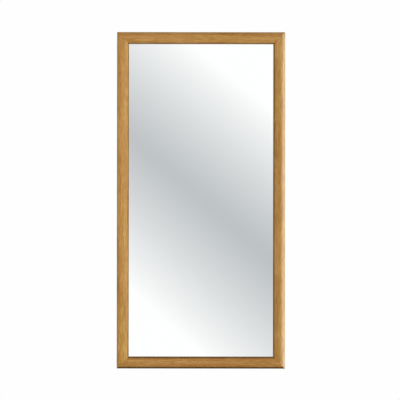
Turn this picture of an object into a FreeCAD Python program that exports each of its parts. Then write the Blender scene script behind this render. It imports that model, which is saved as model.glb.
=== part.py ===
import FreeCAD, Part
import math
import os

# Hall mirror with a mitred oak frame, hung on two D-rings. Sizes in mm.
# +X is the viewer's right, +Y points to the wall and +Z is up.
# The origin lies on the wall, midway between the two hooks.

V = FreeCAD.Vector
X_AXIS = V(1, 0, 0)
Y_AXIS = V(0, 1, 0)
Z_AXIS = V(0, 0, 1)

# Frame, outside
FRAME_WIDTH = 600.0
FRAME_HEIGHT = 1200.0
FRAME_DEPTH = 28.0
FACE_WIDTH = 42.5
HOOK_DROP = 200.0

# Moulding section
OUTER_ROUND = 20.0
CROWN_RADIUS = 85.0
CROWN_INSET = 21.0
INNER_ROUND = 4.0
BACK_CHAMFER = 1.0
CORNER_EASE = 2.5

# Layers behind the lip, and the rebates that hold them
GLASS_THICKNESS = 4.0
FOAM_THICKNESS = 3.0
PANEL_THICKNESS = 4.0
PANEL_RECESS = 2.0
GLASS_REBATE = 8.0
PANEL_LEDGE = 9.0
GLASS_GAP = 2.0
PANEL_GAP = 1.0
FOAM_MARGIN = 1.0
GLASS_ARRIS = 0.6

# Blocks and spacers in the gap round the glass
BLOCK_LENGTH = 40.0
SPACER_LENGTH = 25.0

# Mitre biscuits
BISCUIT_LENGTH = 47.0
BISCUIT_WIDTH = 15.0
BISCUIT_THICKNESS = 4.0
BISCUIT_LIFT = 4.5
BISCUIT_PLAY = 0.1

# V-nails
NAIL_LEG = 7.0
NAIL_SHEET = 0.8
NAIL_DEPTH = 10.0
NAIL_FIRST = 11.0
NAIL_PITCH = 10.0
NAILS_PER_CORNER = 2

# Back panel screws
PANEL_SCREW = 3.0
PANEL_SCREW_HEAD = 5.6
PANEL_SCREW_LENGTH = 16.0
PANEL_SCREW_INSET = 4.3
PANEL_SCREW_END = 60.0
PANEL_SCREW_PITCH = 260.0
PANEL_HOLE_PLAY = 0.2

# Hanger straps, folded from sheet round the D-ring
STRAP_WIDTH = 13.0
STRAP_REACH = 42.0
STRAP_SHEET = 1.2
STRAP_LAYER_GAP = 0.2
STRAP_REVERSE_BEND = 3.0
STRAP_END_ROUND = 4.0

# D-rings, sized on the centre line of the wire
RING_WIRE = 3.0
RING_WIDTH = 20.0
RING_HEIGHT = 18.0
RING_BEND = 3.0
RING_PLAY = 0.1

# Hanger screws
HANGER_SCREW = 4.0
HANGER_SCREW_HEAD = 7.0
HANGER_SCREW_RIM = 0.7
HANGER_SCREW_DOME = 1.5
HANGER_SCREW_LENGTH = 18.0
HANGER_SCREW_FIRST = 11.0
HANGER_SCREW_PITCH = 20.0
HANGER_HOLE_PLAY = 0.25

# Screw details shared by both kinds
TIP_LENGTH = 3.0
PILOT_PLAY = 0.05
PILOT_DEPTH = 1.0

# Wall bumpers
BUMPER_FOOT = 16.0
BUMPER_FACE = 13.0
BUMPER_HEIGHT = 6.0
BUMPER_EDGE = 0.8
BUMPER_INSET = 45.0

# Levels, measured forward from the frame's back
LEDGE_LEVEL = PANEL_RECESS + PANEL_THICKNESS
GLASS_BACK = LEDGE_LEVEL + FOAM_THICKNESS
GLASS_SEAT = GLASS_BACK + GLASS_THICKNESS
BISCUIT_LEVEL = GLASS_SEAT + BISCUIT_LIFT

# Insets, measured inward from the frame's outer edge
GLASS_WALL = FACE_WIDTH - GLASS_REBATE
PANEL_WALL = GLASS_WALL - PANEL_LEDGE
GLASS_EDGE = GLASS_WALL + GLASS_GAP
FOAM_EDGE = GLASS_EDGE + FOAM_MARGIN
PANEL_EDGE = PANEL_WALL + PANEL_GAP
BACK_LAND_MIDDLE = PANEL_WALL / 2

# Places in the shared frame
BACK_Y = -BUMPER_HEIGHT
HALF_WIDTH = FRAME_WIDTH / 2
HALF_HEIGHT = FRAME_HEIGHT / 2
MIDDLE_Z = HOOK_DROP - HALF_HEIGHT
RING_BORE = RING_WIRE / 2 + RING_PLAY
RING_AXIS_Y = BACK_Y + STRAP_SHEET + RING_BORE
RING_AXIS_Z = RING_WIRE / 2 - RING_HEIGHT
HANGER_X = HALF_WIDTH - BACK_LAND_MIDDLE

SIDES = {"left": -1, "right": 1}
ENDS = {"top": 1, "bottom": -1}


def polar(centre, radius, degrees):
    angle = math.radians(degrees)
    return centre + V(radius * math.cos(angle), radius * math.sin(angle), 0)


def arc(centre, radius, start, end):
    """A flat arc about +Z; it runs clockwise when the end angle is the smaller."""
    middle = polar(centre, radius, (start + end) / 2)
    return [polar(centre, radius, start), middle, polar(centre, radius, end)]


def face(*runs):
    """A flat face from runs of points; a run of three is an arc, a run of one a corner."""
    edges = []
    for index, run in enumerate(runs):
        if len(run) == 3:
            edges.append(Part.Arc(*run).toShape())
        start = run[-1]
        end = runs[(index + 1) % len(runs)][0]
        if start.distanceToPoint(end) > 1e-6:
            edges.append(Part.makeLine(start, end))
    return Part.Face(Part.Wire(edges))


def corners(*points):
    return [[V(x, y, 0)] for x, y in points]


def slab(profile, thickness, x_to, y_to, base):
    """Thicken a flat face, then turn its X and Y to the given directions."""
    turn = FreeCAD.Rotation(x_to, y_to, x_to.cross(y_to))
    solid = profile.extrude(V(0, 0, thickness))
    solid.Placement = FreeCAD.Placement(base, turn)
    return solid


def turned(profile):
    return profile.revolve(V(), Y_AXIS, 360)


def moved(shape, x, y, z):
    copy = shape.copy()
    copy.translate(V(x, y, z))
    return copy


def sheet(edge_inset, back_level, front_level):
    """A board centred in the frame between two levels, its edges at one inset."""
    half_x = HALF_WIDTH - edge_inset
    half_z = HALF_HEIGHT - edge_inset
    low = V(-half_x, BACK_Y - front_level, MIDDLE_Z - half_z)
    return Part.makeBox(2 * half_x, front_level - back_level, 2 * half_z, low)


def evenly(span, largest_step):
    """Places spread evenly along a span that is centred on zero."""
    steps = max(1, math.ceil(span / largest_step))
    return [span * (index / steps - 0.5) for index in range(steps + 1)]


def moulding_section():
    """X runs inward from the outer edge and Y forward from the back."""
    crown = V(CROWN_INSET, FRAME_DEPTH - CROWN_RADIUS, 0)

    def nested(radius, inset):
        reach = CROWN_RADIUS - radius
        return V(inset, crown.y + math.sqrt(reach ** 2 - (inset - crown.x) ** 2), 0)

    def bearing(centre):
        return math.degrees(math.atan2(centre.y - crown.y, centre.x - crown.x))

    outer = nested(OUTER_ROUND, OUTER_ROUND)
    inner = nested(INNER_ROUND, FACE_WIDTH - INNER_ROUND)
    return face(
        arc(outer, OUTER_ROUND, 180, bearing(outer)),
        arc(crown, CROWN_RADIUS, bearing(outer), bearing(inner)),
        arc(inner, INNER_ROUND, bearing(inner), 0),
        *corners(
            (FACE_WIDTH, GLASS_SEAT),
            (GLASS_WALL, GLASS_SEAT),
            (GLASS_WALL, LEDGE_LEVEL),
            (PANEL_WALL, LEDGE_LEVEL),
            (PANEL_WALL, 0),
            (BACK_CHAMFER, 0),
            (0, BACK_CHAMFER),
        ),
    )


def mitred_plan(length):
    """X runs along the member and Y inward from its outer edge."""
    half = length / 2
    ease = half - CORNER_EASE
    depth = FACE_WIDTH + CORNER_EASE
    return face(
        arc(V(-ease, CORNER_EASE, 0), CORNER_EASE, -135, -90),
        arc(V(ease, CORNER_EASE, 0), CORNER_EASE, -90, -45),
        *corners((half - depth, depth), (depth - half, depth)),
    )


def frame_member(length, half_span, turn):
    """One mitred length of moulding, turned about the frame's middle to its own side."""
    bar = slab(moulding_section(), length, Z_AXIS, -Y_AXIS, V(-length / 2, 0, 0))
    plan = slab(mitred_plan(length), FRAME_DEPTH, X_AXIS, Z_AXIS, V())
    member = moved(bar.common(plan), 0, BACK_Y, MIDDLE_Z - half_span)
    member.rotate(V(0, 0, MIDDLE_Z), Y_AXIS, turn)
    return member


def corner_place(side, end, inset):
    """The point on a corner's mitre line at an inset from both outer edges."""
    return V(side * (HALF_WIDTH - inset), BACK_Y, MIDDLE_Z + end * (HALF_HEIGHT - inset))


def mitre_biscuit(side, end, play):
    """A lens of beech lying across one mitre, made larger by the play for its slot."""
    half_length = BISCUIT_LENGTH / 2
    half_width = BISCUIT_WIDTH / 2
    radius = (half_length ** 2 + half_width ** 2) / BISCUIT_WIDTH
    offset = radius - half_width
    crest = half_width + play
    tip = math.sqrt((radius + play) ** 2 - offset ** 2)
    lens = face(
        [V(-tip, 0, 0), V(0, crest, 0), V(tip, 0, 0)],
        [V(tip, 0, 0), V(0, -crest, 0), V(-tip, 0, 0)],
    )
    thickness = BISCUIT_THICKNESS + 2 * play
    base = corner_place(side, end, FACE_WIDTH / 2)
    base.y -= BISCUIT_LEVEL + thickness / 2
    along = V(side, 0, end).normalize()
    return slab(lens, thickness, along, Y_AXIS.cross(along), base)


def corner_v_nails(side, end):
    """Bent steel driven flush into the back of one mitre."""
    bend = face(*corners(
        (0, 0),
        (NAIL_LEG, 0),
        (NAIL_LEG, NAIL_SHEET),
        (NAIL_SHEET, NAIL_SHEET),
        (NAIL_SHEET, NAIL_LEG),
        (0, NAIL_LEG),
    ))
    nails = []
    for index in range(NAILS_PER_CORNER):
        place = corner_place(side, end, NAIL_FIRST + index * NAIL_PITCH)
        outward = [X_AXIS * side, Z_AXIS * end]
        if side * end < 0:
            outward.reverse()
        nails.append(slab(bend, NAIL_DEPTH, *outward, place))
    return nails


def mirror_glass():
    pane = sheet(GLASS_EDGE, GLASS_BACK, GLASS_SEAT)
    return pane.makeChamfer(GLASS_ARRIS, pane.Edges)


def gap_filler(length):
    """A soft strip that fills the gap from a rebate wall to the glass, its foot on Z = 0."""
    width = GLASS_THICKNESS - GLASS_ARRIS
    return Part.makeBox(length, width, GLASS_GAP, V(-length / 2, BACK_Y - GLASS_SEAT, 0))


def fillers_on(side_turn, half_span, quarter, length):
    """Two gap fillers on one side of the rebate, each at a quarter of its run."""
    fillers = []
    for along in (-quarter, quarter):
        filler = moved(gap_filler(length), along, 0, MIDDLE_Z - half_span + GLASS_WALL)
        filler.rotate(V(0, 0, MIDDLE_Z), Y_AXIS, side_turn)
        fillers.append(filler)
    return fillers


def shank_points(radius, start, length):
    return [(radius, start), (radius, TIP_LENGTH - length), (0, -length)]


def countersunk_solid(head, shank, length):
    """A countersunk screw's outside, its head flush with Y = 0."""
    return turned(face(*corners((0, 0), (head, 0), *shank_points(shank, shank - head, length))))


def panel_screw():
    return countersunk_solid(PANEL_SCREW_HEAD / 2, PANEL_SCREW / 2, PANEL_SCREW_LENGTH)


def panel_screw_hole():
    """The countersunk hole that clears a panel screw."""
    head = PANEL_SCREW_HEAD / 2 + PANEL_HOLE_PLAY
    shank = PANEL_SCREW / 2 + PANEL_HOLE_PLAY
    return countersunk_solid(head, shank, PANEL_SCREW_LENGTH + TIP_LENGTH)


def pilot_hole(diameter, length):
    """A hole for a screw's shank, measured from Y = 0 and a little deeper than the tip."""
    radius = diameter / 2 + PILOT_PLAY
    return turned(face(*corners((0, 0), *shank_points(radius, 0, length + PILOT_DEPTH))))


def panel_screw_places():
    """Screw places round the panel's border."""
    line = PANEL_EDGE + PANEL_SCREW_INSET
    half_x = HALF_WIDTH - line
    half_z = HALF_HEIGHT - line
    reach = PANEL_EDGE + PANEL_SCREW_END
    y = BACK_Y - PANEL_RECESS
    places = []
    for z in evenly(FRAME_HEIGHT - 2 * reach, PANEL_SCREW_PITCH):
        places += [V(side * half_x, y, MIDDLE_Z + z) for side in SIDES.values()]
    for x in evenly(FRAME_WIDTH - 2 * reach, PANEL_SCREW_PITCH):
        places += [V(x, y, MIDDLE_Z + end * half_z) for end in ENDS.values()]
    return places


def at_places(shape, places):
    return [moved(shape, place.x, place.y, place.z) for place in places]


def back_panel():
    board = sheet(PANEL_EDGE, PANEL_RECESS, LEDGE_LEVEL)
    return board.cut(at_places(panel_screw_hole(), panel_screw_places()))


def strap_section():
    """Sheet folded round the ring bar: X off the wood, Y up, the bar on Y = 0."""
    bar = V(STRAP_SHEET + RING_BORE, 0, 0)
    fold = RING_BORE + STRAP_SHEET
    return_line = STRAP_SHEET + STRAP_LAYER_GAP
    outside_bend = STRAP_REVERSE_BEND - STRAP_SHEET
    spread = fold + outside_bend
    across = return_line + STRAP_REVERSE_BEND - bar.x
    turn = math.degrees(math.acos(across / spread))
    bend = polar(bar, spread, -turn)
    foot = -STRAP_REACH
    return face(
        *corners((0, foot)),
        arc(bar, fold, 180, -turn),
        arc(bend, outside_bend, 180 - turn, 180),
        *corners((return_line + STRAP_SHEET, foot), (return_line, foot)),
        arc(bend, STRAP_REVERSE_BEND, 180, 180 - turn),
        arc(bar, RING_BORE, -turn, 180),
        *corners((STRAP_SHEET, foot)),
    )


def strap_plan():
    """X across the strap and Y up: a straight strip with a rounded foot."""
    half = STRAP_WIDTH / 2
    turn = half - STRAP_END_ROUND
    level = STRAP_END_ROUND - STRAP_REACH
    top = RING_HEIGHT
    return face(
        arc(V(-turn, level, 0), STRAP_END_ROUND, -180, -90),
        arc(V(turn, level, 0), STRAP_END_ROUND, -90, 0),
        *corners((half, top), (-half, top)),
    )


def hanger_screw_places(side):
    first = RING_AXIS_Z - HANGER_SCREW_FIRST
    levels = [first, first - HANGER_SCREW_PITCH]
    return [V(side * HANGER_X, BACK_Y, level) for level in levels]


def strap_thickness():
    return 2 * STRAP_SHEET + STRAP_LAYER_GAP


def hanger_strap(side):
    fold = slab(strap_section(), STRAP_WIDTH, Y_AXIS, Z_AXIS, V(-STRAP_WIDTH / 2, 0, 0))
    plan = slab(strap_plan(), RING_HEIGHT, X_AXIS, Z_AXIS, V(0, RING_HEIGHT, 0))
    strap = moved(fold.common(plan), side * HANGER_X, BACK_Y, RING_AXIS_Z)
    radius = HANGER_SCREW / 2 + HANGER_HOLE_PLAY
    holes = [
        Part.makeCylinder(radius, strap_thickness(), place, Y_AXIS)
        for place in hanger_screw_places(side)
    ]
    return strap.cut(holes)


def ring_path():
    """The wire's centre line, its bar on Y = 0 and its crest at the ring's height."""
    half = RING_WIDTH / 2
    shoulder = RING_HEIGHT - half
    turn = half - RING_BEND
    right = arc(V(turn, RING_BEND, 0), RING_BEND, -90, 0)
    crest = arc(V(0, shoulder, 0), half, 0, 180)
    left = arc(V(-turn, RING_BEND, 0), RING_BEND, 180, 270)
    edges = [
        Part.makeLine(left[-1], right[0]),
        Part.Arc(*right).toShape(),
        Part.makeLine(right[-1], crest[0]),
        Part.Arc(*crest).toShape(),
        Part.makeLine(crest[-1], left[0]),
        Part.Arc(*left).toShape(),
    ]
    return Part.Wire(edges)


def d_ring(side):
    """Round wire bent to a D, standing up as it hangs on its hook."""
    path = ring_path()
    start = path.Edges[0].firstVertex(True).Point
    wire = Part.Wire(Part.makeCircle(RING_WIRE / 2, start, X_AXIS))
    ring = Part.makeSolid(path.makePipe(wire))
    ring.rotate(V(), X_AXIS, 90)
    return moved(ring, side * HANGER_X, RING_AXIS_Y, RING_AXIS_Z)


def hanger_screw():
    """A pan-head screw, the underside of its head on Y = 0."""
    head = HANGER_SCREW_HEAD / 2
    radius = (head ** 2 + HANGER_SCREW_DOME ** 2) / (2 * HANGER_SCREW_DOME)
    top = HANGER_SCREW_RIM + HANGER_SCREW_DOME
    centre = V(0, top - radius, 0)
    rim_turn = math.degrees(math.acos(head / radius))
    shank = corners(*shank_points(HANGER_SCREW / 2, 0, HANGER_SCREW_LENGTH))
    return turned(face(arc(centre, radius, 90, rim_turn), *corners((head, 0)), *shank))


def wall_bumper(side):
    """A tapered rubber foot, flat where it rests on the wall."""
    x = side * (HALF_WIDTH - BUMPER_INSET)
    z = MIDDLE_Z - HALF_HEIGHT + BACK_LAND_MIDDLE
    foot = V(x, BACK_Y, z)
    cone = Part.makeCone(BUMPER_FOOT / 2, BUMPER_FACE / 2, BUMPER_HEIGHT, foot, Y_AXIS)
    rim = [edge for edge in cone.Edges if edge.Closed and abs(edge.CenterOfMass.y) < 1e-6]
    return cone.makeFillet(BUMPER_EDGE, rim)


def build():
    corner_list = [(end, side) for end in ENDS for side in SIDES]
    nails = []
    slots = []
    nodes = {}
    for end, side in corner_list:
        signs = (SIDES[side], ENDS[end])
        nodes[f"{end}_{side}_mitre_biscuit"] = mitre_biscuit(*signs, 0)
        slots.append(mitre_biscuit(*signs, BISCUIT_PLAY))
        nails += corner_v_nails(*signs)

    panel_places = panel_screw_places()
    panel_pilot = pilot_hole(PANEL_SCREW, PANEL_SCREW_LENGTH)
    hanger_places = [place for side in SIDES.values() for place in hanger_screw_places(side)]
    hanger_pilot = pilot_hole(HANGER_SCREW, HANGER_SCREW_LENGTH - strap_thickness())
    rail_cuts = slots + nails + at_places(panel_pilot, panel_places)
    stile_cuts = rail_cuts + at_places(hanger_pilot, hanger_places)

    nodes["bottom_rail"] = frame_member(FRAME_WIDTH, HALF_HEIGHT, 0).cut(rail_cuts)
    nodes["top_rail"] = frame_member(FRAME_WIDTH, HALF_HEIGHT, 180).cut(rail_cuts)
    nodes["left_stile"] = frame_member(FRAME_HEIGHT, HALF_WIDTH, 90).cut(stile_cuts)
    nodes["right_stile"] = frame_member(FRAME_HEIGHT, HALF_WIDTH, 270).cut(stile_cuts)
    nodes["corner_v_nails"] = Part.makeCompound(nails)

    nodes["mirror_glass"] = mirror_glass()
    quarter_x = HALF_WIDTH / 2
    quarter_z = HALF_HEIGHT / 2
    blocks = fillers_on(0, HALF_HEIGHT, quarter_x, BLOCK_LENGTH)
    spacers = fillers_on(180, HALF_HEIGHT, quarter_x, SPACER_LENGTH)
    for turn in (90, 270):
        spacers += fillers_on(turn, HALF_WIDTH, quarter_z, SPACER_LENGTH)
    nodes["glass_setting_blocks"] = Part.makeCompound(blocks)
    nodes["glass_edge_spacers"] = Part.makeCompound(spacers)
    nodes["foam_sheet"] = sheet(FOAM_EDGE, LEDGE_LEVEL, GLASS_BACK)
    nodes["back_panel"] = back_panel()
    nodes["back_panel_screws"] = Part.makeCompound(at_places(panel_screw(), panel_places))

    for side, sign in SIDES.items():
        nodes[f"{side}_hanger_strap"] = hanger_strap(sign)
        nodes[f"{side}_d_ring"] = d_ring(sign)
    nodes["wall_bumpers"] = Part.makeCompound([wall_bumper(sign) for sign in SIDES.values()])
    raised = [place + Y_AXIS * strap_thickness() for place in hanger_places]
    nodes["hanger_screws"] = Part.makeCompound(at_places(hanger_screw(), raised))
    return nodes


os.makedirs("parts", exist_ok=True)
for name, shape in build().items():
    shape.exportStep(f"parts/{name}.step")
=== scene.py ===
import math

import bmesh
import bpy
from mathutils import Matrix, Vector


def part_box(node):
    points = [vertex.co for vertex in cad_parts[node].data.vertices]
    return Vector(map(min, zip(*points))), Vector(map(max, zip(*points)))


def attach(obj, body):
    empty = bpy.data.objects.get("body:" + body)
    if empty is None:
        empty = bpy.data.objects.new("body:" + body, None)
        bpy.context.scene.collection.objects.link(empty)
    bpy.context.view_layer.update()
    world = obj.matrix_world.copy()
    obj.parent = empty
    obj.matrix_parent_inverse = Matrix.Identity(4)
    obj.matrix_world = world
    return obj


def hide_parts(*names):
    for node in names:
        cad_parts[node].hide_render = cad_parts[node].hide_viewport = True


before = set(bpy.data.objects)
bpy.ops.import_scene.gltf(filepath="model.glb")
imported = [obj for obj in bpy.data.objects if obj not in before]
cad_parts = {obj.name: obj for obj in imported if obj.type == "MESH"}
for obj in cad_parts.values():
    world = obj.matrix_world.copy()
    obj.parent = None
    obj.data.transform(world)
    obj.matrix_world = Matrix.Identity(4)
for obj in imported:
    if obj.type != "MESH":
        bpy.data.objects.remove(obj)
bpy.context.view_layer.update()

# Sizes in metres, in the CAD frame: X right, +Y to the wall, Z up.
rail_low, rail_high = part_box("top_rail")
glass_low, glass_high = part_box("mirror_glass")
panel_low, panel_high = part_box("back_panel")
HALF_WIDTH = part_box("right_stile")[1].x
TOP = rail_high.z
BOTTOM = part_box("bottom_rail")[0].z
MIDDLE = (TOP + BOTTOM) / 2
HALF_HEIGHT = (TOP - BOTTOM) / 2
BACK = rail_high.y
DEPTH = BACK - rail_low.y
FACE_WIDTH = TOP - rail_low.z
SIGHT_HALF_WIDTH = HALF_WIDTH - FACE_WIDTH
SIGHT_HALF_HEIGHT = HALF_HEIGHT - FACE_WIDTH

# Moulding section: its three arcs, and the steps that divide each one
OUTER_ROUND = 0.020
CROWN_RADIUS = 0.085
CROWN_INSET = 0.021
INNER_ROUND = 0.004
OUTER_STEPS = 26
CROWN_STEPS = 14
INNER_STEPS = 12
BACK_CHAMFER = 0.001
SAME_POINT = 1e-7

# Rebates behind the lip
GLASS_GAP = 0.002
PANEL_GAP = 0.001
GLASS_SEAT = BACK - glass_low.y
LEDGE_LEVEL = BACK - panel_low.y
GLASS_WALL = HALF_WIDTH - glass_high.x - GLASS_GAP
PANEL_WALL = HALF_WIDTH - panel_high.x - PANEL_GAP
LIP_EASE = 0.0003
REBATE_EASE = 0.0004

# Rounded outer corners and eased mitres
CORNER_EASE = 0.0025
CORNER_STEPS = 6
MITRE_EASE = 0.00022
MITRE_EASE_WIDTH = 0.00045
MITRE_EASE_START = 0.0045

# Finish of the oak: where painted shade, lacquer and glue start and end
SIGHT_SHADE_START = 0.0010
RIM_SPREAD = 1.9
RIM_FADE_START = 0.012
RIM_FADE_END = 0.003
LACQUER_START = 0.016
LACQUER_END = 0.004
GLUE_LINE = 0.0002
GLUE_EDGE = 0.0009

# Small pieces
GLASS_ARRIS = 0.0006
ON_AXIS = 1e-6
SCREW_NECK = 0.0004
SCREW_TIP = 0.004
SCREW_REACH = 0.008
CROSS_OVERSHOOT = 0.0004
CROSS_MOUTH = 1.1
CROSS_FLOOR = 0.5
PAN_DOME_RADIUS = 0.00482
BUMPER_FOOT = 0.0080
BUMPER_EDGE = 0.0008
BUMPER_FACE = 0.0057
BUMPER_SHOULDER = (0.00675, -0.00105)
BUMPER_DIMPLE = 0.0026
BUMPER_DIMPLE_DEPTH = 0.0006
BUMPER_REACH = 0.02
NAIL_SHEET = 0.0008
NAIL_LEG = 0.0070
NAIL_PROUD = 0.00012
NAIL_DEPTH = 0.0100
NAIL_INSETS = (0.011, 0.021)

# The camera, and the plane at which the picture is as wide as its span
CAMERA_DISTANCE = 5.0
PICTURE_PLANE = -0.014
PICTURE_SPAN = 1.427
CAMERA_ROLL = -0.0013
OBJECT_OFFSET = (0.0035, -0.0013)
CAMERA_REACH = 60.0

# The floor: full near its middle, clear at its rim
FLOOR_LEVEL = -1.55
FLOOR_RADIUS = 2.3
FLOOR_FADE = (0.5, 2.1)
FLOOR_LIFT = 0.30

# The card that the mirror shows: full in its plain part, clear at its rim
CARD_DEPTH = -6.6
CARD_HALF_WIDTH = 1.3
CARD_HALF_HEIGHT = 2.2
CARD_PLAIN_WIDTH = 0.75
CARD_PLAIN_HEIGHT = 1.5
CARD_LEVEL = 1.03

# The grey valley on the card: two slopes as (side, up, start), as they show on the glass
UPPER_SLOPE = (0.631, 0.783, -0.0008)
LOWER_SLOPE = (-0.669, -0.736, 0.0107)
VALLEY_BLEND = 0.09
VALLEY_REACH = 0.4125
VALLEY_CURVE = 1.08
VALLEY_STEPS = 8
VALLEY_DARK = (188.4, 192.4, 194.9)
VALLEY_PALE = (254.2, 254.0, 254.1)


def srgb(*values):
    """Linear colour from 0 to 255 display values."""
    out = []
    for value in values:
        c = value / 255
        out.append(c / 12.92 if c <= 0.04045 else ((c + 0.055) / 1.055) ** 2.4)
    return (*out, 1.0)


# Plain colours
WHITE = (1.0, 1.0, 1.0, 1.0)
PAPER_WHITE = srgb(254, 254, 254)
FLOOR_COLOUR = (0.82, 0.82, 0.82, 1.0)

# The surround: a dim sky, a room with slanting stripes, and a soft box at the right
SKY_LOW = 0.05
SKY_HIGH = 0.13
STRIPE_WIDTH = 0.26
STRIPE_DIRECTION = (0.6619, 0.0, 0.7496)
SOFT_BOX_SIDE = 86
SOFT_BOX_LEVEL = 5.6
SOFT_BOX_COLOUR = (0.90, 1.01, 0.95, 1.0)


# Meshes


def add_mesh(name, verts, faces, materials, sharp=None):
    mesh = bpy.data.meshes.new(name)
    mesh.from_pydata([tuple(v) for v in verts], [], faces)
    bm = bmesh.new()
    bm.from_mesh(mesh)
    bmesh.ops.recalc_face_normals(bm, faces=bm.faces[:])
    bm.to_mesh(mesh)
    bm.free()
    for material in materials:
        mesh.materials.append(material)
    if sharp is not None:
        mesh.shade_smooth()
        mesh.set_sharp_from_angle(angle=math.radians(sharp))
    obj = bpy.data.objects.new(name, mesh)
    bpy.context.scene.collection.objects.link(obj)
    return obj


def settle(obj, body, node):
    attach(obj, body)
    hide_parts(node)
    return obj


def arc_points(centre, radius, start, end, count):
    out = []
    for i in range(count + 1):
        a = start + (end - start) * i / count
        out.append((centre[0] + radius * math.cos(a), centre[1] + radius * math.sin(a)))
    return out


def ring_sides(start, count):
    """Faces between a ring of points and the ring that follows it."""
    faces = []
    for i in range(count):
        j = (i + 1) % count
        faces.append([start + i, start + j, start + count + j, start + count + i])
    return faces


def skin(rings):
    """Vertices and faces of a closed shape through rings of points, with a face over each end."""
    count = len(rings[0])
    verts = [p for ring in rings for p in ring]
    last = len(verts) - count
    faces = [list(range(count)), list(range(last, last + count))]
    for start in range(0, last, count):
        faces += ring_sides(start, count)
    return verts, faces


def moulding_section():
    """Outline of the oak moulding: u inward from the outer edge, v forward from the back.
    Three arcs meet without a kink. Each point has its outward normal on the shown front, else None."""
    crown = (CROWN_INSET, DEPTH - CROWN_RADIUS)

    def arc_centre(u, radius):
        """Centre of a smaller arc that runs into the crown without a kink."""
        reach = CROWN_RADIUS - radius
        return (u, crown[1] + math.sqrt(reach ** 2 - (u - CROWN_INSET) ** 2))

    def crown_angle(centre):
        return math.atan2(centre[1] - crown[1], centre[0] - crown[0])

    outer = arc_centre(OUTER_ROUND, OUTER_ROUND)
    inner = arc_centre(FACE_WIDTH - INNER_ROUND, INNER_ROUND)
    points = [((0.0, BACK_CHAMFER), None), ((0.0, MITRE_EASE_START), (-1.0, 0.0))]

    def run(centre, radius, start, end, count):
        for p in arc_points(centre, radius, start, end, count):
            normal = ((p[0] - centre[0]) / radius, (p[1] - centre[1]) / radius)
            if math.dist(points[-1][0], p) > SAME_POINT:
                points.append((p, normal))

    run(outer, OUTER_ROUND, math.pi, crown_angle(outer), OUTER_STEPS)
    run(crown, CROWN_RADIUS, crown_angle(outer), crown_angle(inner), CROWN_STEPS)
    run(inner, INNER_ROUND, crown_angle(inner), 0.0, INNER_STEPS)
    rebates = ((FACE_WIDTH, GLASS_SEAT + LIP_EASE), (FACE_WIDTH - LIP_EASE, GLASS_SEAT),
               (GLASS_WALL, GLASS_SEAT), (GLASS_WALL, LEDGE_LEVEL + REBATE_EASE),
               (GLASS_WALL - REBATE_EASE, LEDGE_LEVEL), (PANEL_WALL, LEDGE_LEVEL),
               (PANEL_WALL, REBATE_EASE), (PANEL_WALL - REBATE_EASE, 0.0), (BACK_CHAMFER, 0.0))
    return points + [(p, None) for p in rebates]


def eased_corner(away):
    """Inset of the rounded outer corner, at a distance from the mitre plane measured along the member."""
    if away >= CORNER_EASE:
        return 0.0
    return CORNER_EASE - (away + math.sqrt(2 * CORNER_EASE ** 2 - away ** 2)) / 2


def frame_member(name, half, place, material):
    """One mitred member. Its front edge at each mitre is eased, so that a hairline shows at the joint."""
    section = moulding_section()
    steps = [0.0, MITRE_EASE_WIDTH]
    steps += [CORNER_EASE * k / CORNER_STEPS for k in range(2, CORNER_STEPS + 1)]
    rings = []
    for away in steps:
        ring = []
        least = eased_corner(away)
        for (u, v), normal in section:
            drop = MITRE_EASE if normal and away == 0.0 else 0.0
            n = normal or (0.0, 0.0)
            ring.append((half - max(u, least) - away, max(u, least) - n[0] * drop, v - n[1] * drop))
        rings.append(ring)
    rings += [[(-s, u, v) for s, u, v in ring] for ring in reversed(rings)]
    placed = skin([[place(*p) for p in ring] for ring in rings])
    return add_mesh(name, *placed, [material], sharp=32)


def lathe(profile, segments):
    """Vertices and faces of a closed piece turned about Y. Its profile is (radius, y), end to end.
    An end that is off the axis gets a flat face."""
    verts, faces, rows = [], [], []
    for radius, y in profile:
        if radius < ON_AXIS:
            rows.append([len(verts)])
            verts.append(Vector((0.0, y, 0.0)))
        else:
            rows.append(list(range(len(verts), len(verts) + segments)))
            for i in range(segments):
                a = 2 * math.pi * i / segments
                verts.append(Vector((radius * math.cos(a), y, radius * math.sin(a))))
    for low, high in zip(rows, rows[1:]):
        for i in range(segments):
            j = (i + 1) % segments
            if len(low) == 1:
                faces.append([low[0], high[i], high[j]])
            elif len(high) == 1:
                faces.append([low[i], low[j], high[0]])
            else:
                faces.append([low[i], low[j], high[j], high[i]])
    faces += [row for row in (rows[0], rows[-1]) if len(row) > 1]
    return verts, faces


def cross_tool(reach, breadth, depth):
    """A tapered cross that is cut out of a screw head, down from level 0 to the depth."""
    rings = []
    for y, scale in ((CROSS_OVERSHOOT, CROSS_MOUTH), (-depth, CROSS_FLOOR)):
        a, b = reach * scale, breadth * scale
        outline = ((a, -b), (a, b), (b, b), (b, a), (-b, a), (-b, b),
                   (-a, b), (-a, -b), (-b, -b), (-b, -a), (b, -a), (b, -b))
        rings.append([(x, y, z) for x, z in outline])
    return skin(rings)


def cut(body, tool):
    """Vertices and faces of the body less the tool."""
    solid = add_mesh("cut_body", *body, [])
    cutter = add_mesh("cut_tool", *tool, [])
    step = solid.modifiers.new("cut", "BOOLEAN")
    step.operation = "DIFFERENCE"
    step.solver = "EXACT"
    step.object = cutter
    made = solid.evaluated_get(bpy.context.evaluated_depsgraph_get()).to_mesh()
    verts = [v.co.copy() for v in made.vertices]
    faces = [list(p.vertices) for p in made.polygons]
    for obj in (solid, cutter):
        mesh = obj.data
        bpy.data.objects.remove(obj)
        bpy.data.meshes.remove(mesh)
    return verts, faces


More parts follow.
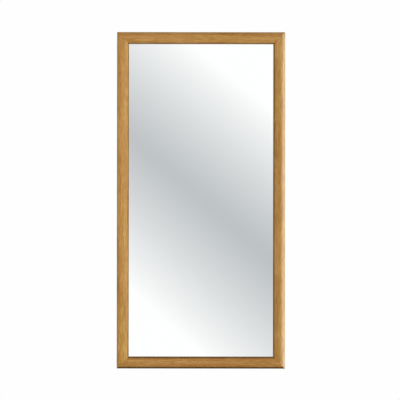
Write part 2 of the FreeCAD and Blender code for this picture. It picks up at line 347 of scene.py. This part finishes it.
def at_places(shape, places, level, most=0.0):
    """Copies of a turned shape at each (x, z). Each one turns about Y by its own share of the most."""
    golden = 0.618034
    verts, faces = [], []
    for i, (x, z) in enumerate(places):
        start = len(verts)
        turn = Matrix.Rotation(most * (i * golden % 1.0), 3, "Y")
        verts += [turn @ v + Vector((x, level, z)) for v in shape[0]]
        faces += [[start + k for k in face] for face in shape[1]]
    return verts, faces


def island_places(node, reach):
    """Middle (x, z) of each separate fitting in a CAD node."""
    groups = []
    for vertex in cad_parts[node].data.vertices:
        x, z = vertex.co.x, vertex.co.z
        for group in groups:
            if abs(group[0] - x) < reach and abs(group[1] - z) < reach:
                group[2].append((x, z))
                break
        else:
            groups.append((x, z, [(x, z)]))
    out = []
    for _, _, points in groups:
        xs = [p[0] for p in points]
        zs = [p[1] for p in points]
        out.append(((min(xs) + max(xs)) / 2, (min(zs) + max(zs)) / 2))
    return sorted(out)


# Shader helpers


class Nodes:
    """Short names for building a node tree."""

    def __init__(self, name, world=None):
        self.owner = world or bpy.data.materials.new(name)
        self.owner.use_nodes = True
        self.tree = self.owner.node_tree
        self.tree.nodes.clear()

    def add(self, kind, inputs=None, **props):
        node = self.tree.nodes.new(kind)
        for key, value in props.items():
            setattr(node, key, value)
        for key, value in (inputs or {}).items():
            self.feed(node.inputs[key], value)
        return node

    def feed(self, socket, value):
        if isinstance(value, bpy.types.NodeSocket):
            self.tree.links.new(value, socket)
        elif isinstance(value, bpy.types.Node):
            self.tree.links.new(value.outputs[0], socket)
        else:
            socket.default_value = value

    def place(self):
        return self.add("ShaderNodeTexCoord").outputs["Object"]

    def split(self, vector):
        return self.add("ShaderNodeSeparateXYZ", {0: vector}).outputs

    def light_path(self):
        return self.add("ShaderNodeLightPath").outputs

    def math(self, operation, a, b=None, c=None, clamp=False):
        inputs = {0: a}
        if b is not None:
            inputs[1] = b
        if c is not None:
            inputs[2] = c
        return self.add("ShaderNodeMath", inputs, operation=operation, use_clamp=clamp).outputs[0]

    def dot(self, vector, direction):
        node = self.add("ShaderNodeVectorMath", {0: vector, 1: direction}, operation="DOT_PRODUCT")
        return node.outputs["Value"]

    def ramp(self, value, *stops):
        node = self.add("ShaderNodeValToRGB", {0: value})
        elements = node.color_ramp.elements
        while len(elements) < len(stops):
            elements.new(0.5)
        for element, (position, colour) in zip(elements, stops):
            element.position = position
            element.color = colour if isinstance(colour, tuple) else (colour, colour, colour, 1.0)
        return node.outputs[0]

    def smooth(self, value, low, high, out_low=0.0, out_high=1.0):
        node = self.add("ShaderNodeMapRange", {0: value, 1: low, 2: high, 3: out_low, 4: out_high},
                        interpolation_type="SMOOTHSTEP")
        return node.outputs[0]

    def noise(self, vector, scale, detail, roughness, distortion=0.0):
        node = self.add("ShaderNodeTexNoise", {"Vector": vector, "Scale": scale, "Detail": detail,
                                               "Roughness": roughness, "Distortion": distortion})
        return node.outputs["Fac"]

    def stretched(self, vector, per_metre, detail, roughness, scale=1.0):
        """Noise with its own scale along each axis."""
        scaled = self.add("ShaderNodeVectorMath", {0: vector, 1: per_metre}, operation="MULTIPLY")
        return self.noise(scaled, scale, detail, roughness)

    def mix(self, factor, a, b, blend="MIX"):
        node = self.add("ShaderNodeMix", data_type="RGBA", blend_type=blend)
        self.feed(node.inputs[0], factor)
        self.feed(node.inputs[6], a)
        self.feed(node.inputs[7], b)
        return node.outputs[2]

    def bump(self, height, strength, distance):
        return self.add("ShaderNodeBump", {"Strength": strength, "Distance": distance, "Height": height})

    def background(self, colour, strength):
        return self.add("ShaderNodeBackground", {"Color": colour, "Strength": strength})

    def blend(self, factor, a, b):
        return self.add("ShaderNodeMixShader", {0: factor, 1: a, 2: b})

    def surface(self, colour, rough, bump=None, metal=0.0, gloss=0.5):
        """The finished material."""
        inputs = {"Base Color": colour, "Roughness": rough, "Metallic": metal, "Specular IOR Level": gloss}
        if bump is not None:
            inputs["Normal"] = bump
        return self.output(self.add("ShaderNodeBsdfPrincipled", inputs))

    def output(self, shader, kind="ShaderNodeOutputMaterial"):
        self.add(kind, {"Surface": shader})
        return self.owner


# Materials


def member_space(n, along):
    """Across, depth and length of a member, its inset from the sight edge, and how far off the mitre is."""
    x, y, z = n.split(n.place())
    z_mid = n.math("SUBTRACT", z, MIDDLE)
    from_side = n.math("SUBTRACT", n.math("ABSOLUTE", x), SIGHT_HALF_WIDTH)
    from_end = n.math("SUBTRACT", n.math("ABSOLUTE", z_mid), SIGHT_HALF_HEIGHT)
    slant = n.math("ABSOLUTE", n.math("SUBTRACT", from_side, from_end))
    if along == "Z":
        return x, y, z_mid, from_side, slant
    return z_mid, y, x, from_end, slant


def growth_rings(n, grain, across, depth):
    """Early wood in the rings about a distant pith, bent by a slow wander of the grain."""
    wander = n.stretched(grain, (9.0, 9.0, 2.6), 2.0, 0.45)
    ripple = n.stretched(grain, (55.0, 55.0, 9.0), 2.0, 0.5)
    ring = n.math("MULTIPLY_ADD", across, 210.0, n.math("MULTIPLY", depth, 120.0))
    ring = n.math("MULTIPLY_ADD", wander, 17.0, ring)
    ring = n.math("MULTIPLY_ADD", ripple, 1.6, ring)
    phase = n.math("FRACT", ring)
    return n.ramp(phase, (0.0, 1.0), (0.22, 0.55), (0.62, 0.12), (0.9, 0.0), (1.0, 1.0))


def oak_figure(n, across, depth, length, shift):
    """Colour of bare oak, then its fibres and pores."""
    grain = n.add("ShaderNodeCombineXYZ", {0: across, 1: depth, 2: length})
    grain = n.add("ShaderNodeVectorMath", {0: grain, 1: shift}, operation="ADD")
    early = growth_rings(n, grain, across, depth)
    bands = n.stretched(grain, (110.0, 70.0, 6.5), 3.0, 0.55)
    patches = n.stretched(grain, (34.0, 34.0, 9.0), 2.0, 0.5)
    hue = n.stretched(grain, (40.0, 30.0, 4.0), 1.0, 0.5, 1.3)
    fibre = n.stretched(grain, (900.0, 900.0, 22.0), 3.0, 0.6)
    fleck = n.stretched(grain, (260.0, 200.0, 38.0), 2.0, 0.55)
    pore = n.smooth(n.stretched(grain, (1900.0, 1900.0, 110.0), 2.0, 0.55), 0.55, 0.64)
    pore = n.math("MULTIPLY", pore, n.math("MULTIPLY_ADD", early, 0.75, 0.25))

    shade = n.math("MULTIPLY_ADD", bands, 0.75, n.math("MULTIPLY", patches, 0.55))
    shade = n.math("MULTIPLY_ADD", fibre, 0.22, shade)
    shade = n.math("MULTIPLY_ADD", n.math("SUBTRACT", fleck, 0.5), 0.95, shade)
    shade = n.math("MULTIPLY_ADD", early, -0.17, n.math("ADD", shade, 0.02))
    colour = n.ramp(shade, (0.40, srgb(142, 96, 34)), (0.60, srgb(163, 117, 50)),
                    (0.78, srgb(174, 130, 63)), (0.98, srgb(189, 148, 82)))
    colour = n.mix(n.smooth(hue, 0.35, 0.72, 0.0, 0.35), colour, srgb(178, 126, 74))
    colour = n.mix(n.math("MULTIPLY", pore, 0.55), colour, srgb(104, 66, 30))
    return colour, fibre, pore


def oak(name, along, shift, tone, sight_shade, rim, sheen):
    """Satin-lacquered oak with its grain along one axis of the frame.
    Painted shade at the sight edge and at the outer rim is (level, width): darker wood standing in for
    shade.
    Sheen is the rim's share of gloss, against the rest of the face."""
    n = Nodes(name)
    across, depth, length, inset, slant = member_space(n, along)
    colour, fibre, pore = oak_figure(n, across, depth, length, shift)
    colour = n.mix(1.0, colour, tone, blend="MULTIPLY")

    # Painted shade darkens the sight edge and the outer rim, and a hairline of glue shows at each mitre.
    level, width = sight_shade
    # Painted shade: a dark band along the sight edge, where the lip meets the glass.
    sight_shade_mask = n.smooth(inset, SIGHT_SHADE_START, width, level, 0.0)
    colour = n.mix(sight_shade_mask, colour, srgb(70, 45, 18))
    # Painted shade: the outer rim is darker where it turns away from the light, most on the bottom rail,
    # and fades toward the back.
    level, width = rim
    rim_shade_mask = n.smooth(inset, FACE_WIDTH - RIM_SPREAD * width, FACE_WIDTH - width, 0.0, level)
    toward_back = n.smooth(depth, BACK - RIM_FADE_START, BACK - RIM_FADE_END, 1.0, 0.4)
    colour = n.mix(n.math("MULTIPLY", rim_shade_mask, toward_back), colour, srgb(62, 36, 12))
    glue = n.smooth(slant, GLUE_LINE, GLUE_EDGE, 0.5, 0.0)
    colour = n.mix(glue, colour, srgb(96, 62, 30))

    lacquer = n.smooth(inset, FACE_WIDTH - LACQUER_START, FACE_WIDTH - LACQUER_END, 0.5, 0.5 * sheen)
    gloss = n.math("MULTIPLY", lacquer, n.math("MULTIPLY_ADD", sight_shade_mask, -1.5, 1.0))
    rough = n.math("MULTIPLY_ADD", fibre, 0.16, n.math("MULTIPLY_ADD", pore, 0.2, 0.40))
    relief = n.math("MULTIPLY_ADD", pore, -1.0, n.math("MULTIPLY", fibre, 0.25))
    return n.surface(colour, rough, n.bump(relief, 0.25, 0.0003), gloss=gloss)


def silvered_mirror():
    n = Nodes("silvered_mirror")
    haze = n.stretched(n.place(), (3.0, 3.0, 3.0), 3.0, 0.6)
    tint = n.mix(haze, (0.962, 0.972, 0.970, 1.0), (0.970, 0.978, 0.975, 1.0))
    return n.surface(tint, 0.0, metal=1.0)


def ground_glass_edge():
    n = Nodes("ground_glass_edge")
    grit = n.noise(n.place(), 1800.0, 2.0, 0.6)
    colour = n.ramp(grit, (0.3, srgb(104, 146, 132)), (0.7, srgb(150, 184, 170)))
    return n.surface(colour, 0.35, n.bump(grit, 0.3, 0.0002))


def mirror_back_paint():
    n = Nodes("mirror_back_paint")
    mottle = n.noise(n.place(), 60.0, 4.0, 0.6)
    colour = n.ramp(mottle, (0.3, srgb(118, 124, 120)), (0.7, srgb(134, 140, 136)))
    return n.surface(colour, 0.5)


def back_board():
    """Smooth brown fibreboard with fine flecks."""
    n = Nodes("fibreboard")
    place = n.place()
    cloud = n.stretched(place, (9.0, 9.0, 7.0), 3.0, 0.55)
    fleck = n.noise(place, 900.0, 3.0, 0.7)
    strand = n.noise(place, 330.0, 2.0, 0.6, 2.2)
    mixed = n.math("MULTIPLY_ADD", fleck, 0.50, n.math("MULTIPLY", strand, 0.36))
    mixed = n.math("MULTIPLY_ADD", cloud, 0.14, mixed)
    colour = n.ramp(mixed, (0.30, srgb(134, 98, 63)), (0.50, srgb(159, 120, 81)),
                    (0.70, srgb(180, 142, 101)))
    rough = n.math("MULTIPLY_ADD", cloud, 0.2, 0.62)
    return n.surface(colour, rough, n.bump(fleck, 0.2, 0.0002), gloss=0.15)


def zinc_steel():
    n = Nodes("bright_zinc_steel")
    place = n.place()
    cloud = n.noise(place, 240.0, 3.0, 0.6)
    scuff = n.stretched(place, (2600.0, 2600.0, 300.0), 2.0, 0.6)
    colour = n.ramp(cloud, (0.30, srgb(188, 190, 192)), (0.55, srgb(206, 207, 206)),
                    (0.75, srgb(214, 210, 198)))
    rough = n.math("MULTIPLY_ADD", scuff, 0.2, 0.2)
    return n.surface(colour, rough, n.bump(scuff, 0.08, 0.0001), metal=1.0)


def rubber():
    n = Nodes("grey_rubber")
    place = n.place()
    grain = n.noise(place, 2400.0, 2.0, 0.6)
    bloom = n.noise(place, 160.0, 2.0, 0.5)
    colour = n.ramp(bloom, (0.3, srgb(52, 52, 54)), (0.7, srgb(68, 68, 69)))
    return n.surface(colour, 0.62, n.bump(grain, 0.25, 0.0002))


def beech():
    n = Nodes("pressed_beech")
    fleck = n.stretched(n.place(), (900.0, 300.0, 300.0), 3.0, 0.6)
    colour = n.ramp(fleck, (0.35, srgb(188, 148, 108)), (0.65, srgb(212, 176, 136)))
    return n.surface(colour, 0.6)


def foam():
    n = Nodes("white_foam")
    cells = n.add("ShaderNodeTexVoronoi", {"Vector": n.place(), "Scale": 900.0}).outputs["Distance"]
    colour = n.ramp(cells, (0.0, srgb(206, 208, 208)), (0.6, srgb(236, 237, 236)))
    return n.surface(colour, 0.8, n.bump(cells, 0.3, 0.0003))


# The four oak members

# The sight-edge and rim pairs below are painted shade (level, width); the right stile, which faces the
# light, has none at its rim.
left_oak = oak("oak_left_stile", "Z", shift=(6.01, 5.05, 5.11), tone=(1.09, 1.095, 1.16, 1.0),
               sight_shade=(0.62, 0.0045), rim=(0.30, 0.0024), sheen=0.3)
right_oak = oak("oak_right_stile", "Z", shift=(5.54, 2.74, 2.99), tone=(0.895, 0.865, 0.85, 1.0),
                sight_shade=(0.62, 0.0070), rim=(0.0, 0.0020), sheen=1.6)
top_oak = oak("oak_top_rail", "X", shift=(6.59, 0.99, 8.6), tone=(0.945, 0.905, 0.90, 1.0),
              sight_shade=(0.30, 0.0062), rim=(0.11, 0.0125), sheen=0.3)
bottom_oak = oak("oak_bottom_rail", "X", shift=(7.15, 5.04, 2.35), tone=(0.835, 0.76, 0.72, 1.0),
                 sight_shade=(0.62, 0.0088), rim=(0.86, 0.0052), sheen=0.3)


def on_top(s, u, v):
    return (s, BACK - v, TOP - u)


def on_bottom(s, u, v):
    return (s, BACK - v, BOTTOM + u)


def on_left(s, u, v):
    return (u - HALF_WIDTH, BACK - v, MIDDLE + s)


def on_right(s, u, v):
    return (HALF_WIDTH - u, BACK - v, MIDDLE + s)


settle(frame_member("oak_top", HALF_WIDTH, on_top, top_oak), "mirror", "top_rail")
settle(frame_member("oak_bottom", HALF_WIDTH, on_bottom, bottom_oak), "mirror", "bottom_rail")
settle(frame_member("oak_left", HALF_HEIGHT, on_left, left_oak), "mirror", "left_stile")
settle(frame_member("oak_right", HALF_HEIGHT, on_right, right_oak), "mirror", "right_stile")

# These pieces keep their CAD shapes and take a finish.

board_finish = back_board()
steel_finish = zinc_steel()
rubber_finish = rubber()
beech_finish = beech()
foam_finish = foam()

FINISH = {
    "back_panel": board_finish,
    "foam_sheet": foam_finish,
    "glass_setting_blocks": rubber_finish,
    "glass_edge_spacers": rubber_finish,
    "left_hanger_strap": steel_finish,
    "right_hanger_strap": steel_finish,
    "left_d_ring": steel_finish,
    "right_d_ring": steel_finish,
    "top_left_mitre_biscuit": beech_finish,
    "top_right_mitre_biscuit": beech_finish,
    "bottom_left_mitre_biscuit": beech_finish,
    "bottom_right_mitre_biscuit": beech_finish,
}
for node, finish in FINISH.items():
    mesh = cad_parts[node].data
    mesh.materials.clear()
    mesh.materials.append(finish)


def mirror_pane():
    """The glass plate with its arrises: silvered front, ground edges and a painted back."""
    low, high = glass_low, glass_high
    levels = ((low.y, GLASS_ARRIS), (low.y + GLASS_ARRIS, 0.0),
              (high.y - GLASS_ARRIS, 0.0), (high.y, GLASS_ARRIS))
    rings = []
    for y, inset in levels:
        x0, x1, z0, z1 = low.x + inset, high.x - inset, low.z + inset, high.z - inset
        rings.append([(x0, y, z0), (x1, y, z0), (x1, y, z1), (x0, y, z1)])
    materials = [silvered_mirror(), ground_glass_edge(), mirror_back_paint()]
    pane = add_mesh("mirror_pane", *skin(rings), materials)
    for face in pane.data.polygons:
        if abs(face.normal.y) < 0.9:
            face.material_index = 1
        elif face.normal.y > 0:
            face.material_index = 2
    return settle(pane, "mirror", "mirror_glass")


mirror_pane()


def screw(head, shank, length, segments, cross):
    """One screw with a cross recess. Its head is (radius, level), from the top down."""
    tail = [(shank, head[-1][1] - SCREW_NECK), (shank, -length + SCREW_TIP), (0.0, -length)]
    return cut(lathe(head + tail, segments), cross_tool(*cross))


def screws(name, node, shape, level):
    """A screw at each place of a CAD node. The shape's level 0 goes to the given level."""
    placed = at_places(shape, island_places(node, SCREW_REACH), level, math.pi / 2)
    return settle(add_mesh(name, *placed, [steel_finish], sharp=30), "mirror", node)


# Flat heads, flush with the back panel
flat_head = [(0.0024, 0.0), (0.0027, -0.00006), (0.0028, -0.0002), (0.0015, -0.0016)]
panel_screw = screw(flat_head, shank=0.0014, length=0.016, segments=40, cross=(0.00150, 0.00034, 0.0014))
screws("panel_screws", "back_panel_screws", panel_screw, panel_high.y)

# Pan heads on the hanger straps
dome = arc_points((0.0, -PAN_DOME_RADIUS), PAN_DOME_RADIUS, math.pi / 2 - 0.12, math.pi / 2 - 0.80, 9)
pan_head = dome + [(0.0035, -0.00168), (0.0035, -0.00205), (0.0034, -0.0022), (0.0019, -0.0022)]
hanger_screw = screw(pan_head, shank=0.0017, length=0.0182, segments=48, cross=(0.0021, 0.00046, 0.0016))
screws("strap_screws", "hanger_screws", hanger_screw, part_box("hanger_screws")[1].y)


def wall_bumpers():
    """Tapered rubber buttons with a rounded face and a shallow dimple."""
    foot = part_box("wall_bumpers")[0].y
    profile = [(BUMPER_FOOT - 0.0001, foot), (BUMPER_FOOT, foot + 0.0002), BUMPER_SHOULDER]
    profile += arc_points((BUMPER_FACE, -BUMPER_EDGE), BUMPER_EDGE, 0.38, math.pi / 2, 6)
    profile += [(BUMPER_DIMPLE, 0.0), (BUMPER_DIMPLE - 0.0003, -0.0001),
                (BUMPER_DIMPLE - 0.0007, -BUMPER_DIMPLE_DEPTH)]
    placed = at_places(lathe(profile, 56), island_places("wall_bumpers", BUMPER_REACH), 0.0)
    bumpers = add_mesh("rubber_bumpers", *placed, [rubber_finish], sharp=35)
    return settle(bumpers, "mirror", "wall_bumpers")


wall_bumpers()


def v_nail_outline(side, up, inset):
    """Outline of one bent strip: out along the rail, round the apex, along the stile and back."""
    apex = Vector((side * (HALF_WIDTH - inset), MIDDLE + up * (HALF_HEIGHT - inset)))
    far_x = apex + Vector((side * NAIL_LEG, 0.0))
    far_z = apex + Vector((0.0, up * NAIL_LEG))
    wide_x = Vector((side * NAIL_SHEET / 2, 0.0))
    wide_z = Vector((0.0, up * NAIL_SHEET / 2))
    return [far_x + wide_z, apex + wide_x + wide_z, far_z + wide_x,
            far_z - wide_x, apex - wide_x - wide_z, far_x - wide_z]


def v_nails():
    """Bent steel strips across each mitre at the back, a hair proud of the wood."""
    corners = [(side, up) for side in (-1, 1) for up in (-1, 1)]
    verts, faces = [], []
    for side, up in corners:
        for inset in NAIL_INSETS:
            outline = v_nail_outline(side, up, inset)
            start, count = len(verts), len(outline)
            for y in (BACK + NAIL_PROUD, BACK - NAIL_DEPTH):
                verts += [(p.x, y, p.y) for p in outline]
            for end in (start, start + count):
                faces += [[end + k for k in (0, 1, 4, 5)], [end + k for k in (1, 2, 3, 4)]]
            faces += ring_sides(start, count)
    nails = add_mesh("v_nails", verts, faces, [steel_finish])
    return settle(nails, "mirror", "corner_v_nails")


v_nails()


# Camera, from straight in front and far off


def camera():
    data = bpy.data.cameras.new("camera")
    data.lens = data.sensor_width * CAMERA_DISTANCE / PICTURE_SPAN
    data.clip_end = CAMERA_REACH
    obj = bpy.data.objects.new("camera", data)
    bpy.context.scene.collection.objects.link(obj)
    obj.location = (-OBJECT_OFFSET[0], PICTURE_PLANE - CAMERA_DISTANCE, MIDDLE - OBJECT_OFFSET[1])
    obj.rotation_euler = (math.pi / 2, CAMERA_ROLL, 0)
    bpy.context.scene.camera = obj
    return obj


view = camera()


# Light: a white surround, soft suns, and a graded card that shows only in reflections


def heading(side_deg, up_deg):
    """Direction from the mirror: 0 is straight in front, and a positive side is to the right."""
    a, e = math.radians(side_deg), math.radians(up_deg)
    return (math.sin(a) * math.cos(e), -math.cos(a) * math.cos(e), math.sin(e))


def soft_box(n, path, outward, back):
    """A wide glow at the right. Gloss shows it weaker, most of all toward the back.
    The mirror doesn't show it."""
    glow = n.smooth(n.dot(outward, heading(SOFT_BOX_SIDE, 0)), 0.65, 0.985, 0.0, SOFT_BOX_LEVEL)
    dimmed = n.math("MULTIPLY", path["Is Glossy Ray"], n.smooth(back, 0.0, 0.6, 0.4, 0.75))
    spread = n.math("SUBTRACT", 1.0, n.math("MAXIMUM", dimmed, path["Is Singular Ray"]))
    return n.background(SOFT_BOX_COLOUR, n.math("MULTIPLY", glow, spread))


def surround():
    """Paper white to the camera, a dim sky to matt surfaces and a pale striped room to shiny ones."""
    world = bpy.data.worlds.new("surround")
    bpy.context.scene.world = world
    world.cycles.sampling_method = "NONE"
    n = Nodes("surround", world)
    path = n.light_path()
    outward = n.add("ShaderNodeTexCoord").outputs["Generated"]
    _, back, up = n.split(outward)
    sky = n.background(WHITE, n.smooth(up, -0.9, 0.9, SKY_LOW, SKY_HIGH))

    across = n.dot(outward, STRIPE_DIRECTION)
    swing = n.math("PINGPONG", n.math("ADD", across, 2.0), STRIPE_WIDTH)
    shade = n.ramp(n.math("DIVIDE", swing, STRIPE_WIDTH), (0.0, srgb(194, 198, 201)),
                   (0.5, srgb(226, 229, 231)), (1.0, WHITE))
    under = n.smooth(up, -0.6, 0.2, 0.5, 1.0)
    room = n.background(shade, n.math("MAXIMUM", under, path["Is Singular Ray"]))

    lit = n.blend(path["Is Glossy Ray"], sky, room)
    lit = n.add("ShaderNodeAddShader", {0: lit, 1: soft_box(n, path, outward, back)})
    direct = n.math("MAXIMUM", path["Is Camera Ray"], path["Is Transmission Ray"])
    n.output(n.blend(direct, lit, n.background(PAPER_WHITE, 1.0)), "ShaderNodeOutputWorld")


def sun(name, toward, level, softness):
    """Soft distant light that adds the given level to a surface facing it. Gloss doesn't show it."""
    data = bpy.data.lights.new(name, "SUN")
    data.energy = math.pi * level
    data.angle = math.radians(softness)
    obj = bpy.data.objects.new(name, data)
    obj.rotation_euler = Vector(toward).to_track_quat("Z", "Y").to_euler()
    obj.visible_glossy = False
    bpy.context.scene.collection.objects.link(obj)


surround()
sun("front_fill", heading(0, 1), level=0.615, softness=40)
sun("left_fill", heading(-72, 0), level=0.31, softness=40)
sun("back_left", heading(-140, 22), level=0.60, softness=16)
sun("back_right", heading(155, 22), level=0.50, softness=16)


def floor():
    """Pale floor that keeps a soft shadow and fades to the white surround. Rough gloss doesn't show it."""
    n = Nodes("pale_floor")
    path = n.light_path()
    away = n.add("ShaderNodeVectorMath", {0: n.place()}, operation="LENGTH").outputs["Value"]
    rough_gloss = n.math("SUBTRACT", path["Is Glossy Ray"], path["Is Singular Ray"])
    fade = n.math("MAXIMUM", n.smooth(away, *FLOOR_FADE), rough_gloss)
    seen = n.math("MAXIMUM", path["Is Camera Ray"], path["Is Glossy Ray"])
    seen = n.math("MAXIMUM", seen, path["Is Transmission Ray"])
    matt = n.add("ShaderNodeBsdfDiffuse", {"Color": FLOOR_COLOUR})
    level = n.math("MULTIPLY", seen, FLOOR_LIFT)
    lift = n.add("ShaderNodeEmission", {"Color": WHITE, "Strength": level})
    near = n.add("ShaderNodeAddShader", {0: matt, 1: lift})
    material = n.output(n.blend(fade, near, n.add("ShaderNodeBsdfTransparent")))
    points = arc_points((0.0, 0.0), FLOOR_RADIUS, 0.0, 2 * math.pi, 96)[:-1]
    obj = add_mesh("floor", [(x, y, 0.0) for x, y in points], [list(range(len(points)))], [material])
    obj.location = (0.0, 0.0, FLOOR_LEVEL)
    obj.visible_diffuse = False


floor()


def valley_shade(n, x, z):
    """Shade of the card: a grey valley between two pale slopes."""
    run = (glass_low.y - CARD_DEPTH) / (glass_low.y - view.location.y)
    share = 1 / (1 + run)

    def climb(side, up, start):
        """Distance up one slope, as it shows on the glass about the mirror's middle."""
        rest = start - up * MIDDLE + share * run * (side * view.location.x + up * view.location.z)
        return n.math("MULTIPLY_ADD", x, side * share, n.math("MULTIPLY_ADD", z, up * share, rest))

    height = n.math("SMOOTH_MAX", climb(*UPPER_SLOPE), climb(*LOWER_SLOPE), VALLEY_BLEND)
    stops = []
    for i in range(VALLEY_STEPS + 1):
        k = i / VALLEY_STEPS
        rise = k ** VALLEY_CURVE
        stops.append((k, srgb(*(d + (p - d) * rise for d, p in zip(VALLEY_DARK, VALLEY_PALE)))))
    return n.ramp(n.math("DIVIDE", height, VALLEY_REACH, clamp=True), *stops)


def graded_card():
    """The room that the mirror shows: a pale card behind the camera, clear at its rim."""
    n = Nodes("graded_card")
    x, _, z = n.split(n.place())
    card = n.add("ShaderNodeEmission", {"Color": valley_shade(n, x, z), "Strength": CARD_LEVEL})
    rim_x = n.smooth(n.math("ABSOLUTE", x), CARD_PLAIN_WIDTH, CARD_HALF_WIDTH)
    z_mid = n.math("SUBTRACT", z, MIDDLE)
    rim_z = n.smooth(n.math("ABSOLUTE", z_mid), CARD_PLAIN_HEIGHT, CARD_HALF_HEIGHT)
    clear = n.add("ShaderNodeBsdfTransparent")
    material = n.output(n.blend(n.math("MAXIMUM", rim_x, rim_z), card, clear))
    w, low, high = CARD_HALF_WIDTH, MIDDLE - CARD_HALF_HEIGHT, MIDDLE + CARD_HALF_HEIGHT
    corners = [(-w, CARD_DEPTH, low), (w, CARD_DEPTH, low), (w, CARD_DEPTH, high), (-w, CARD_DEPTH, high)]
    obj = add_mesh("graded_card", corners, [[0, 1, 2, 3]], [material])
    obj.visible_camera = False
    obj.visible_diffuse = False
    obj.visible_shadow = False
    obj.visible_transmission = False


graded_card()

bpy.context.scene.view_settings.view_transform = "Standard"
